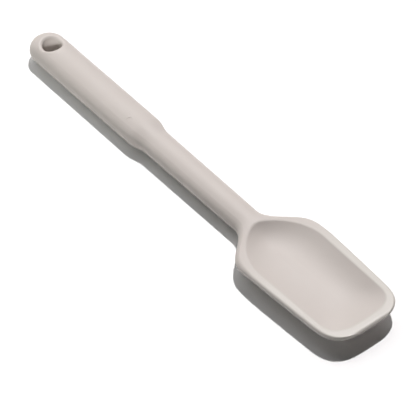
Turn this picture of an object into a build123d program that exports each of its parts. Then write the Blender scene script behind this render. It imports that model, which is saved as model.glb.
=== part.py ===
from build123d import *
from math import atan2, cos, pi, radians, sin, sqrt, tan
import os

# Overall sizes. Millimetres, +Z up, lying on its underside with the bowl open upwards.
# Stations along the length are measured from the hang end; the finished part is centred.
overall_length = 267.0
rest_gap = 0.1

# Grip: a softly crowned oval bar with a full round hang end.
grip_width = 20.6
grip_thickness = 13.7
grip_length = 90.5
shoulder_length = 11.0
side_round_share = 0.87

# Neck: a slimmer oval from the shoulder to the throat of the bowl.
neck_width_at_grip = 16.4
neck_width_at_bowl = 15.5
neck_thickness = 11.2

# Bowl outline from above. Lengths that place it are measured from the throat or back from the tip.
bowl_length = 95.0
bowl_width = 50.4
bowl_front_width = 46.7
widest_from_throat = 34.0
corner_run = 18.9
throat_hollow_power = 2.3
throat_shoulder_power = 5.88
side_taper_power = 1.25
corner_power = 3.11

# Bowl outline from the side.
rim_height = 11.2
rim_crown = 0.2
lip_edge_drop = 1.6
belly_round_share = 0.24
blend_lead = 9.5
blend_end_from_throat = 24.1
crown_end_from_throat = 19.0
side_rise_start_from_throat = 9.4
side_rise_end_from_throat = 39.5
front_edge_depth = 0.4
front_lift_length = 30.9
front_lift_power = 2.2
belly_flat_depth = 0.25

# Polished lip round the bowl.
lip_width = 4.7
lip_corner_width = 3.7
lip_front_width = 5.2
lip_front_round = 1.8
lip_inner_round = 2.0

# Inside of the bowl: a flat floor, a cove round it, and straight sloping walls up to the lip.
bowl_depth = 4.7
wall_slope = 24.5
cove_radius = 35.0
rear_cove_radius = 24.5
bowl_rear_from_throat = 9.1
rear_power = 1.84
floor_widest_shift_share = 0.5
bowl_overrun = 4.2

# Hang hole through the grip.
hole_station = 13.3
hole_radius = 5.2
hole_mouth_round = 1.5
hole_under_round = 2.1

# Stiff core, buried in the silicone: an eye round the hang hole.
eye_lining = 1.6
eye_wall = 1.7
eye_height = 6.2

# Core: a ribbed spine in the grip, with bays on both faces and a key hole in each bay's web.
spine_width = 11.0
spine_height = 7.2
spine_web = 2.4
spine_rib = 2.4
spine_flange = 2.0
spine_bay_count = 5
spine_start_gap = 3.0
spine_end_margin = 4.0
spine_edge_round = 1.0
key_hole_radius = 1.6

# Core: an oval rod in the neck, which bends down behind the bowl into a thin curved tongue.
rod_width = 9.4
rod_height = 6.6
rod_round_share = 0.46
rod_tip_thickness = 0.7
drop_lead = 8.0
tongue_width = 22.0
tongue_radius = 46.0
tongue_thickness = 1.4
tongue_skin = 0.9
tongue_rear_from_throat = 18.0
drop_end_from_throat = 24.0
tongue_front_from_tip = 31.0
tongue_corner_round = 9.0
tongue_key_radius = 2.2
tongue_key_pitch = 11.0
tongue_key_count = 3

# Core: a locating stud, and the small round mark that it leaves in the top of the grip.
stud_from_grip_end = 6.0
stud_offset = 4.0
stud_radius = 1.1
stud_skin = 0.7
mark_radius = 1.5
mark_depth = 0.15

# How finely the sections are spaced, in sections per stretch.
grip_section_count = 4
shoulder_section_count = 8
neck_section_count = 4
throat_section_count = 20
side_section_count = 8
corner_angles = [8, 15, 23, 31, 39, 47, 55, 62, 68, 74, 79, 83.5, 87]
drop_section_count = 10
bowl_layer_count = 10
outline_step_count = 8
side_step_count = 4
cut_overrun = 5.0

# Places that follow from the sizes above.
grip_centre = rest_gap + grip_thickness / 2
stud_station = grip_length - stud_from_grip_end
shoulder_end = grip_length + shoulder_length
throat_station = overall_length - bowl_length
blend_start = throat_station - blend_lead
blend_end = throat_station + blend_end_from_throat
widest_station = throat_station + widest_from_throat
corner_station = overall_length - corner_run
crown_end = throat_station + crown_end_from_throat
side_rise_start = throat_station + side_rise_start_from_throat
side_rise_end = throat_station + side_rise_end_from_throat
front_lift_station = overall_length - front_lift_length
bowl_floor_height = rim_height - bowl_depth
inner_half_width = bowl_width / 2 - lip_width
front_narrowing = (bowl_width - bowl_front_width) / 2
inner_narrowing = front_narrowing + lip_corner_width - lip_width


def mix(start, end, share):
    return start + (end - start) * share


def limit(share):
    return min(max(share, 0), 1)


def ease(share):
    share = limit(share)
    return share * share * (3 - 2 * share)


def spaced(start, end, count):
    return [mix(start, end, i / count) for i in range(count + 1)]


def side_taper(x, widest, corner):
    """Share of the bowl's narrowing that its side has reached at a station."""
    return max((x - widest) / (corner - widest), 0) ** side_taper_power


def half_width(x):
    """Half the outline's width at a station: grip, shoulder, neck, flare, tapering sides, round corners."""
    if x <= grip_length:
        return grip_width / 2
    along_neck = limit((x - shoulder_end) / (throat_station - shoulder_end))
    neck = mix(neck_width_at_grip, neck_width_at_bowl, along_neck) / 2
    if x < shoulder_end:
        return mix(grip_width / 2, neck, ease((x - grip_length) / shoulder_length))
    flare = limit((x - throat_station) / (widest_station - throat_station))
    spread = 1 - (1 - flare**throat_hollow_power) ** throat_shoulder_power
    width = mix(neck, bowl_width / 2, spread)
    width -= front_narrowing * side_taper(x, widest_station, corner_station)
    into_corner = limit((x - corner_station) / corner_run)
    return width * (1 - into_corner**corner_power) ** (1 / corner_power)


def section_sizes(x):
    """Half width, side, top and bottom heights, and the two edge radii of the outer section at a station."""
    slim = ease((x - grip_length) / shoulder_length)
    half_height = mix(grip_thickness, neck_thickness, slim) / 2
    flat = ease((x - blend_start) / (blend_end - blend_start))
    crown = ease((x - blend_start) / (crown_end - blend_start))
    risen = ease((x - side_rise_start) / (side_rise_end - side_rise_start))
    side = mix(grip_centre, rim_height + rim_crown - lip_edge_drop, risen)
    top = mix(grip_centre + half_height, rim_height + rim_crown, crown)
    bottom = mix(grip_centre - half_height, -belly_flat_depth, flat)
    lifted = max((x - front_lift_station) / front_lift_length, 0) ** front_lift_power
    bottom = mix(bottom, side - front_edge_depth, lifted)
    into_lip = limit((x - overall_length + lip_front_round) / lip_front_round)
    shrink = sqrt(1 - into_lip**2)
    rise = (top - side) * shrink
    drop = (side - bottom) * shrink
    upper = rise * side_round_share
    lower = drop * mix(side_round_share, belly_round_share, flat)
    return half_width(x), side, side + rise, side - drop, upper, lower


def crown_radius(width, rise, edge_radius):
    """Radius of the arc over a section that meets edge arcs of this radius tangentially."""
    return ((width - edge_radius) ** 2 + rise**2 - edge_radius**2) / (2 * (rise - edge_radius))


def on_arc(x, centre_y, centre_z, radius, angle):
    return (x, centre_y + radius * cos(angle), centre_z + radius * sin(angle))


def side_points(x):
    """Ends and mid points of the four arcs on the +Y half of the outer section."""
    width, side, top, bottom, upper, lower = section_sizes(x)
    over = crown_radius(width, top - side, upper)
    under = crown_radius(width, side - bottom, lower)
    upper_turn = atan2(over - (top - side), width - upper)
    lower_turn = -atan2(under - (side - bottom), width - lower)
    return {
        "top": (x, 0, top),
        "top_mid": on_arc(x, 0, top - over, over, (upper_turn + pi / 2) / 2),
        "upper": on_arc(x, 0, top - over, over, upper_turn),
        "upper_mid": on_arc(x, width - upper, side, upper, upper_turn / 2),
        "side": (x, width, side),
        "lower_mid": on_arc(x, width - lower, side, lower, lower_turn / 2),
        "lower": on_arc(x, 0, bottom + under, under, lower_turn),
        "bottom_mid": on_arc(x, 0, bottom + under, under, (lower_turn - pi / 2) / 2),
        "bottom": (x, 0, bottom),
    }


def mirrored(point):
    return (point[0], -point[1], point[2])


def outer_section(x):
    """Closed outer section at a station: six arcs, each tangent to the next."""
    p = side_points(x)
    arc = Edge.make_three_point_arc
    return Wire([
        arc(mirrored(p["upper"]), p["top"], p["upper"]),
        arc(p["upper"], p["upper_mid"], p["side"]),
        arc(p["side"], p["lower_mid"], p["lower"]),
        arc(p["lower"], p["bottom"], mirrored(p["lower"])),
        arc(mirrored(p["lower"]), mirrored(p["lower_mid"]), mirrored(p["side"])),
        arc(mirrored(p["side"]), mirrored(p["upper_mid"]), mirrored(p["upper"])),
    ])


def half_section(x):
    """The +Y half of the outer section, closed by a line down the middle."""
    p = side_points(x)
    arc = Edge.make_three_point_arc
    return Face(Wire([
        arc(p["top"], p["top_mid"], p["upper"]),
        arc(p["upper"], p["upper_mid"], p["side"]),
        arc(p["side"], p["lower_mid"], p["lower"]),
        arc(p["lower"], p["bottom_mid"], p["bottom"]),
        Edge.make_line(p["bottom"], p["top"]),
    ]))


def stretch(stations):
    return Part(Solid.make_loft([outer_section(x) for x in stations]).wrapped)


def outer_form():
    """The whole outside: one loft per stretch, and the hang end as half a turn of the grip's section."""
    cap_radius = grip_width / 2
    corners = [corner_station + corner_run * sin(radians(a)) ** (2 / corner_power) for a in corner_angles]
    form = revolve(half_section(cap_radius), Axis((cap_radius, 0, 0), (0, 0, 1)), 180)
    form += stretch(spaced(cap_radius, grip_length, grip_section_count))
    form += stretch(spaced(grip_length, shoulder_end, shoulder_section_count))
    form += stretch(spaced(shoulder_end, blend_start, neck_section_count))
    form += stretch(spaced(blend_start, widest_station, throat_section_count))
    form += stretch(spaced(widest_station, corner_station, side_section_count))
    form += stretch([corner_station] + corners)
    above = Pos(overall_length / 2, 0, rim_height) * Box(
        overall_length + cut_overrun, bowl_width + cut_overrun, rim_height * 2
    )
    return form & above


def wall_run(height):
    """How far the side wall stands out from the floor's edge at a height above the floor."""
    slope = radians(wall_slope)
    cove_height = cove_radius * (1 - cos(slope))
    if height <= cove_height:
        return sqrt(height * (2 * cove_radius - height))
    return cove_radius * sin(slope) + (height - cove_height) / tan(slope)


def rear_run(height):
    """The same for the rear wall, which is one arc up to the lip and straight above it."""
    below = min(height, bowl_depth)
    lip_run = sqrt(bowl_depth * (2 * rear_cove_radius - bowl_depth))
    run = sqrt(below * (2 * rear_cove_radius - below))
    return run + (height - below) * (rear_cove_radius - bowl_depth) / lip_run


def bowl_heights():
    """Heights above the floor for the hollow's outlines, evenly spaced along the side wall."""
    slope = radians(wall_slope)
    cove_height = cove_radius * (1 - cos(slope))
    along_cove = cove_radius * slope
    along_wall = (bowl_depth + bowl_overrun - cove_height) / sin(slope)
    heights = []
    for along in spaced(0, along_cove + along_wall, bowl_layer_count):
        if along <= along_cove:
            heights.append(cove_radius * (1 - cos(along / cove_radius)))
        else:
            heights.append(cove_height + (along - along_cove) * sin(slope))
    return heights


def bowl_outline(height):
    """Closed outline of the hollow at a height above its floor: a wide front with round corners,
    sides that taper like the outer ones, and an oval rear end."""
    inset = wall_run(bowl_depth) - wall_run(height)
    rear_inset = rear_run(bowl_depth) - rear_run(height)
    front = overall_length - lip_front_width - inset
    corner = corner_station - inset
    rear = throat_station + bowl_rear_from_throat + rear_inset
    widest = widest_station + rear_inset * floor_widest_shift_share
    half = inner_half_width - inset
    narrowing = inner_narrowing * half / inner_half_width
    turn = [radians(a) for a in spaced(0, 90, outline_step_count)]
    side = []
    for a in turn:
        out = sin(a) ** (2 / corner_power)
        ahead = cos(a) ** (2 / corner_power)
        side.append((mix(corner, front, ahead), (half - narrowing) * out))
    for x in spaced(corner, widest, side_step_count)[1:-1]:
        side.append((x, half - narrowing * side_taper(x, widest, corner)))
    for a in turn:
        out = cos(a) ** (2 / rear_power)
        back = sin(a) ** (2 / rear_power)
        side.append((mix(widest, rear, back), half * out))
    level = bowl_floor_height + height
    outline = [Vector(x, y, level) for x, y in side]
    outline += [Vector(x, -y, level) for x, y in side[-2:0:-1]]
    return Wire([Edge.make_spline(outline, periodic=True)])


def bowl_hollow():
    """The hollow from its flat floor, past the rim, to above the crown of the neck."""
    return Part(Solid.make_loft([bowl_outline(height) for height in bowl_heights()]).wrapped)


def hang_hole(form):
    """The form with its upright hang hole: a neat round at the upper mouth, a wider one underneath."""
    bore = Pos(hole_station, 0, grip_centre) * Cylinder(hole_radius, grip_thickness + cut_overrun)
    drilled = form - bore
    for side, mouth_round in ((-1, hole_under_round), (1, hole_mouth_round)):
        rims = new_edges(form, bore, combined=drilled)
        rim = rims.filter_by(lambda edge: (edge.center().Z - grip_centre) * side > 0)
        drilled = fillet(rim, mouth_round)
    return drilled


def crown_plane():
    """Plane on the skin at the mark: its origin on the top crown, its normal square to the skin."""
    width, side, top, bottom, upper, lower = section_sizes(stud_station)
    over = crown_radius(width, top - side, upper)
    drop = sqrt(over**2 - stud_offset**2)
    return Plane(origin=(stud_station, -stud_offset, top - over + drop), z_dir=(0, -stud_offset, drop))


def outer_skin():
    """The finished outside: the form with its bowl, rounded inner lip, hang hole and mark."""
    form = outer_form()
    hollow = bowl_hollow()
    opened = form - hollow
    lip = new_edges(form, hollow, combined=opened)
    opened = fillet(lip, lip_inner_round)
    opened = hang_hole(opened)
    return opened - crown_plane() * Cylinder(mark_radius, mark_depth * 2)


def core_eye():
    """Ring round the hang hole."""
    inner = hole_radius + eye_lining
    ring = Cylinder(inner + eye_wall, eye_height) - Cylinder(inner, eye_height + cut_overrun)
    return Pos(hole_station, 0, grip_centre) * ring


def core_spine():
    """Bar through the grip with bays cut in its two faces, and a key hole through each bay's web."""
    start = hole_station + hole_radius + eye_lining + eye_wall / 2
    end = grip_length
    bar = Pos((start + end) / 2, 0, grip_centre) * Box(end - start, spine_width, spine_height)
    bar = fillet(bar.edges().filter_by(Axis.X), spine_edge_round)
    first = start + spine_start_gap
    pitch = (end - spine_end_margin - first) / spine_bay_count
    bay_depth = (spine_height - spine_web) / 2
    bay = Box(pitch - spine_rib, spine_width - spine_flange * 2, bay_depth * 2)
    for i in range(spine_bay_count):
        middle = first + pitch * (i + 1 / 2)
        for face in (-1, 1):
            bar -= Pos(middle, 0, grip_centre + face * spine_height / 2) * bay
        bar -= Pos(middle, 0, grip_centre) * Cylinder(key_hole_radius, spine_height)
    return bar


def rod_section(x, width, height, centre):
    oval = RectangleRounded(width, height, height * rod_round_share)
    return Plane(origin=(x, 0, centre), x_dir=(0, 1, 0), z_dir=(1, 0, 0)) * oval


def core_rod():
    """Oval rod: out of the spine, through the neck, then down behind the bowl and flat under its floor."""
    drop_start = throat_station - drop_lead
    drop_end = throat_station + drop_end_from_throat
    tongue_centre = bowl_floor_height - tongue_skin - tongue_thickness / 2
    straight = [
        rod_section(grip_length - spine_end_margin, spine_width, spine_height, grip_centre),
        rod_section(shoulder_end, rod_width, rod_height, grip_centre),
        rod_section(drop_start, rod_width, rod_height, grip_centre),
    ]
    bend = []
    for x in spaced(drop_start, drop_end, drop_section_count):
        share = ease((x - drop_start) / (drop_end - drop_start))
        height = mix(rod_height, rod_tip_thickness, share)
        bend.append(rod_section(x, rod_width, height, mix(grip_centre, tongue_centre, share)))
    return loft(straight, ruled=True) + loft(bend)


def core_tongue():
    """Thin plate under the bowl's floor, curved across its width, with key holes along the middle."""
    rear = throat_station + tongue_rear_from_throat
    front = overall_length - tongue_front_from_tip
    top = bowl_floor_height - tongue_skin
    length = front - rear
    arc_run = length + cut_overrun
    shell = Cylinder(tongue_radius + tongue_thickness, arc_run)
    shell -= Cylinder(tongue_radius, arc_run + cut_overrun)
    shell = Pos((rear + front) / 2, 0, top + tongue_radius) * Rot(0, 90, 0) * shell
    plan = RectangleRounded(length, tongue_width, tongue_corner_round)
    plate = shell & Pos((rear + front) / 2, 0, 0) * extrude(plan, rim_height)
    for i in range(tongue_key_count):
        x = front - tongue_corner_round - i * tongue_key_pitch
        plate -= Pos(x, 0, 0) * Cylinder(tongue_key_radius, rim_height * 2)
    return plate


def core_stud():
    """Stud from the spine up to just under the mark."""
    skin = crown_plane()
    reach = (skin.origin.Z - grip_centre) - stud_skin
    foot = skin.offset(-stud_skin)
    return foot * Pos(0, 0, -reach / 2) * Cylinder(stud_radius, reach)


def stiff_core():
    return core_eye() + core_spine() + core_rod() + core_tongue() + core_stud()


centred = Pos(-overall_length / 2, 0, 0)
core = stiff_core()
body = outer_skin() - core

os.makedirs("parts", exist_ok=True)
export_step(centred * body, "parts/silicone_body.step")
export_step(centred * core, "parts/stiff_core.step")
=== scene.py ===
import math

import bpy
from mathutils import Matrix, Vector

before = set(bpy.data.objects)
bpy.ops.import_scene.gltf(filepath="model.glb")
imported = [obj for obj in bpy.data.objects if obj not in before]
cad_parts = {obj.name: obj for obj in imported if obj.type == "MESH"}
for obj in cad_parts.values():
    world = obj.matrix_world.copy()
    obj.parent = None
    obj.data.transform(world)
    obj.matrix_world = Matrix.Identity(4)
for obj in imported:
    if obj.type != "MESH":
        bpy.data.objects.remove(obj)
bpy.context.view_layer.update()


# Stiff core: the hidden spine, with an eye round the hang hole and a flat tongue under the bowl. It
# is moulded first, from dark glass-filled nylon. The silicone is then moulded round it and seals it
# on all sides, so nothing of it shows.
def add(tree, kind, inputs=(), **settings):
    """Add one node; inputs are given as values or as the sockets that feed them."""
    node = tree.nodes.new(kind)
    for name, value in settings.items():
        setattr(node, name, value)
    for socket, value in dict(inputs).items():
        if isinstance(value, bpy.types.NodeSocket):
            tree.links.new(value, node.inputs[socket])
        else:
            node.inputs[socket].default_value = value
    return node


def blend_colours(tree, share, first, second):
    """The first colour where share is 0, the second where it is 1, and a mix between."""
    inputs = {"Factor": share, "A": first, "B": second}
    node = add(tree, "ShaderNodeMix", inputs, data_type="RGBA")
    return [output for output in node.outputs if output.type == "RGBA"][0]


def blend_values(tree, share, first, second):
    """The first value where share is 0, the second where it is 1, and a mix between."""
    inputs = {"Value": share, "To Min": first, "To Max": second}
    return add(tree, "ShaderNodeMapRange", inputs).outputs["Result"]


def new_material(name):
    material = bpy.data.materials.new(name)
    material.use_nodes = True
    material.node_tree.nodes.clear()
    return material, material.node_tree


def give_material(node_name, material):
    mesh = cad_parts[node_name].data
    mesh.materials.clear()
    mesh.materials.append(material)


def make_moulded_skin():
    """Skin of a moulded piece, as two masks from 0 to 1. Grain is the fine blasting of the mould, and
    Clouding is the slow change of tone in the poured or injected material."""
    grain_detail = 3.0
    cloud_detail = 2.0
    cloud_low = 0.3
    cloud_high = 0.7
    group = bpy.data.node_groups.new("moulded skin", "ShaderNodeTree")
    for name, kind in (
        ("Position", "NodeSocketVector"),
        ("Grains per metre", "NodeSocketFloat"),
        ("Clouds per metre", "NodeSocketFloat"),
    ):
        group.interface.new_socket(name, in_out="INPUT", socket_type=kind)
    for name in ("Grain", "Clouding"):
        group.interface.new_socket(name, in_out="OUTPUT", socket_type="NodeSocketFloat")
    given = add(group, "NodeGroupInput").outputs
    grain = add(group, "ShaderNodeTexNoise", {
        "Vector": given["Position"],
        "Scale": given["Grains per metre"],
        "Detail": grain_detail,
    }).outputs["Fac"]
    clouds = add(group, "ShaderNodeTexNoise", {
        "Vector": given["Position"],
        "Scale": given["Clouds per metre"],
        "Detail": cloud_detail,
    }).outputs["Fac"]
    clouding = add(group, "ShaderNodeMapRange", {
        "Value": clouds,
        "From Min": cloud_low,
        "From Max": cloud_high,
    }).outputs["Result"]
    add(group, "NodeGroupOutput", {"Grain": grain, "Clouding": clouding})
    return group


moulded_skin = make_moulded_skin()

core_colour = (0.12, 0.12, 0.12, 1.0)
core_fibre_colour = (0.17, 0.165, 0.16, 1.0)
core_grains_per_metre = 1400.0
core_clouds_per_metre = 300.0
core_blasting = 0.1
core_smoothest = 0.45
core_roughest = 0.65
nylon_refraction = 1.53
grain_depth = 0.0002
# Glass fibres lie along the flow of the nylon, which is the length of the core.
fibre_stretch = (0.15, 1.0, 1.0)

core, tree = new_material("glass-filled nylon")
position = add(tree, "ShaderNodeTexCoord").outputs["Object"]
along_flow = add(tree, "ShaderNodeMapping", {"Vector": position, "Scale": fibre_stretch}).outputs["Vector"]
skin = add(tree, "ShaderNodeGroup", {
    "Position": along_flow,
    "Grains per metre": core_grains_per_metre,
    "Clouds per metre": core_clouds_per_metre,
}, node_tree=moulded_skin).outputs
bump = add(tree, "ShaderNodeBump", {
    "Strength": core_blasting,
    "Distance": grain_depth,
    "Height": skin["Grain"],
})
shader = add(tree, "ShaderNodeBsdfPrincipled", {
    "Base Color": blend_colours(tree, skin["Clouding"], core_colour, core_fibre_colour),
    "Roughness": blend_values(tree, skin["Grain"], core_smoothest, core_roughest),
    "IOR": nylon_refraction,
    "Normal": bump.outputs["Normal"],
})
add(tree, "ShaderNodeOutputMaterial", {"Surface": shader.outputs["BSDF"]})
give_material("stiff_core", core)


# Silicone body: the whole outside of the spatula, one seamless moulding of pale, warm grey silicone
# over the core. The mould is finely blasted, so the skin is matt, but its cavity is polished round
# the rim of the bowl, which leaves a glossier lip. Its sheen is also painted in as a lighter, creamier
# colour.
def calculate(tree, operation, *values):
    return add(tree, "ShaderNodeMath", dict(enumerate(values)), operation=operation).outputs[0]


def combine(tree, operation, first, second):
    """The two vectors, taken together by the named operation; its node is returned."""
    return add(tree, "ShaderNodeVectorMath", {0: first, 1: second}, operation=operation)


def smooth_step(tree, value, start, end):
    """0 below start and 1 above end, with a smooth change between them."""
    inputs = {"Value": value, "From Min": start, "From Max": end}
    return add(tree, "ShaderNodeMapRange", inputs, interpolation_type="SMOOTHSTEP").outputs["Result"]


silicone_colour = (0.593, 0.549, 0.517, 1.0)
silicone_cloud_colour = (0.587, 0.541, 0.509, 1.0)
silicone_grains_per_metre = 900.0
silicone_clouds_per_metre = 60.0
silicone_blasting = 0.05
silicone_smoothest = 0.48
silicone_roughest = 0.54
silicone_refraction = 1.41

# The polished lip: the crown of the rim and the outer face just below it, from the rear of the bowl
# on. It gets a painted sheen, a lighter, creamier colour than the rest of the silicone. Heights are above
# the floor, and places along the spatula are measured from its middle.
lip_sheen_colour = (0.608, 0.580, 0.540, 1.0)
lip_polish = 0.09
rim_height = 0.0112
rim_crown = 0.00005
lip_inner_depth = 0.0003
lip_side_top = 0.0098
lip_side_bottom = 0.0080
lip_start = 0.055
lip_full = 0.090
bowl_middle = (0.090, 0.0, 0.0)
facing_out_fully = 0.003
level_part = (1.0, 1.0, 0.0)

silicone, tree = new_material("silicone")
position = add(tree, "ShaderNodeTexCoord").outputs["Object"]
facing = add(tree, "ShaderNodeNewGeometry").outputs["Normal"]
place = add(tree, "ShaderNodeSeparateXYZ", {"Vector": position}).outputs
skin = add(tree, "ShaderNodeGroup", {
    "Position": position,
    "Grains per metre": silicone_grains_per_metre,
    "Clouds per metre": silicone_clouds_per_metre,
}, node_tree=moulded_skin).outputs

# Outward is above 0 where the surface faces away from the middle of the bowl.
from_middle = combine(tree, "SUBTRACT", position, bowl_middle).outputs[0]
level_facing = combine(tree, "MULTIPLY", facing, level_part).outputs[0]
outward = combine(tree, "DOT_PRODUCT", from_middle, level_facing).outputs["Value"]
crown = smooth_step(tree, place["Z"], rim_height - lip_inner_depth, rim_height - rim_crown)
below_crown = smooth_step(tree, place["Z"], lip_side_bottom, lip_side_top)
outer_face = smooth_step(tree, outward, 0.0, facing_out_fully)
side = calculate(tree, "MULTIPLY", below_crown, outer_face)
along = smooth_step(tree, place["X"], lip_start, lip_full)
lip = calculate(tree, "MULTIPLY", calculate(tree, "MAXIMUM", crown, side), along)

tone = blend_colours(tree, skin["Clouding"], silicone_colour, silicone_cloud_colour)
matt = blend_values(tree, skin["Clouding"], silicone_smoothest, silicone_roughest)
polished = calculate(tree, "MULTIPLY", lip, lip_polish)
bump = add(tree, "ShaderNodeBump", {
    "Strength": silicone_blasting,
    "Distance": grain_depth,
    "Height": skin["Grain"],
})
# Painted sheen: the lip's colour is lighter and creamier than the silicone, besides being glossier.
shader = add(tree, "ShaderNodeBsdfPrincipled", {
    "Base Color": blend_colours(tree, lip, tone, lip_sheen_colour),
    "Roughness": calculate(tree, "SUBTRACT", matt, polished),
    "IOR": silicone_refraction,
    "Normal": bump.outputs["Normal"],
})
add(tree, "ShaderNodeOutputMaterial", {"Surface": shader.outputs["BSDF"]})
give_material("silicone_body", silicone)

# Floor: plain and pale. The camera sees it at full white where no shadow falls, and the light that
# it throws back on the object is that of a pale floor.
floor_bounce = (0.80, 0.80, 0.80, 1.0)
floor_seen = (1.035, 1.045, 1.05, 1.0)
floor_reach = 20.0

floor_material, tree = new_material("floor")
camera_ray = add(tree, "ShaderNodeLightPath").outputs["Is Camera Ray"]
tone = blend_colours(tree, camera_ray, floor_bounce, floor_seen)
diffuse = add(tree, "ShaderNodeBsdfDiffuse", {"Color": tone})
add(tree, "ShaderNodeOutputMaterial", {"Surface": diffuse.outputs["BSDF"]})

mesh = bpy.data.meshes.new("floor")
mesh.from_pydata([
    (-floor_reach, -floor_reach, 0.0),
    (floor_reach, -floor_reach, 0.0),
    (floor_reach, floor_reach, 0.0),
    (-floor_reach, floor_reach, 0.0),
], [], [(0, 1, 2, 3)])
mesh.materials.append(floor_material)
floor = bpy.data.objects.new("floor", mesh)
bpy.context.scene.collection.objects.link(floor)


# Camera: a long lens, from the tip's side, at the photograph's angle.
def direction(azimuth, elevation):
    """Direction from the object, with azimuth turning from the tip to the far side, in degrees."""
    azimuth = math.radians(azimuth)
    elevation = math.radians(elevation)
    return Vector((
        math.cos(azimuth) * math.cos(elevation),
        math.sin(azimuth) * math.cos(elevation),
        math.sin(elevation),
    ))


to_camera = direction(-39.221, 45.315)
camera_distance = 1.4116
camera_aim = Vector((0.0, 0.0, 0.008))

camera_data = bpy.data.cameras.new("camera")
camera_data.sensor_width = 36.0
camera_data.lens = 241.70
camera_data.shift_x = 0.0286
camera_data.shift_y = -0.0769
camera_data.clip_end = 50.0
camera = bpy.data.objects.new("camera", camera_data)
camera.location = camera_aim + to_camera * camera_distance
camera.rotation_euler = to_camera.to_track_quat("Z", "Y").to_euler()
bpy.context.scene.collection.objects.link(camera)
bpy.context.scene.camera = camera


# Light: a key high at the back left, soft lights behind it and over the hang end, a low fill from
# the near side, a small softbox beside the grip, whose light fades towards the bowl, and a thin
# slit of light that reaches the upper wall of the hang hole.
def hang_lamp(name, data, location, to_light, squeeze=1.0):
    """Hang a lamp with the light coming from to_light; squeeze flattens a spot's round beam."""
    lamp = bpy.data.objects.new(name, data)
    lamp.location = location
    lamp.scale = (1.0, squeeze, 1.0)
    lamp.rotation_euler = to_light.to_track_quat("Z", "Y").to_euler()
    bpy.context.scene.collection.objects.link(lamp)


neutral = (1.0, 1.0, 1.0)
above_floor = (0.0, 0.0, 1.0)

# Each row is a name, azimuth and elevation, strength, apparent width in degrees and a tint.
for name, azimuth, elevation, strength, width, tint in (
    ("key", 127.4, 62.9, 2.75, 3, (1.0, 0.97, 0.97)),
    ("back low", 127, 22, 0.212, 40, neutral),
    ("back high", 127, 50, 0.322, 40, neutral),
    ("over hang end", 180, 50, 0.462, 40, neutral),
    ("near fill", -85, 10, 0.06, 15, neutral),
):
    data = bpy.data.lights.new(name, "SUN")
    data.energy = strength
    data.angle = math.radians(width)
    data.color = tint
    hang_lamp(name, data, above_floor, direction(azimuth, elevation))

softbox_place = Vector((-0.14, -0.20, 0.08))
softbox_aim = Vector((-0.11, 0.0, 0.005))
softbox = bpy.data.lights.new("softbox", "AREA")
softbox.energy = 0.127
softbox.size = 0.10
softbox.color = (0.97, 1.0, 0.96)
hang_lamp("softbox", softbox, softbox_place, softbox_place - softbox_aim)

hole_wall = Vector((-0.1246, 0.0028, 0.0101))
to_slit = direction(-33, 29)
slit_distance = 0.6
slit = bpy.data.lights.new("hole slit", "SPOT")
slit.energy = 9.0
slit.spot_size = math.radians(1.35)
slit.spot_blend = 0.25
slit.shadow_soft_size = 0.002
hang_lamp("hole slit", slit, hole_wall + to_slit * slit_distance, to_slit, squeeze=0.38)

# The surround gives no light of its own: the lamps and the floor light the object.
world = bpy.data.worlds.new("surround")
world.use_nodes = True
tree = world.node_tree
tree.nodes.clear()
surround = add(tree, "ShaderNodeBackground", {"Color": (1.0, 1.0, 1.0, 1.0), "Strength": 0.0})
add(tree, "ShaderNodeOutputWorld", {"Surface": surround.outputs["Background"]})
bpy.context.scene.world = world

bpy.context.scene.view_settings.view_transform = "Standard"
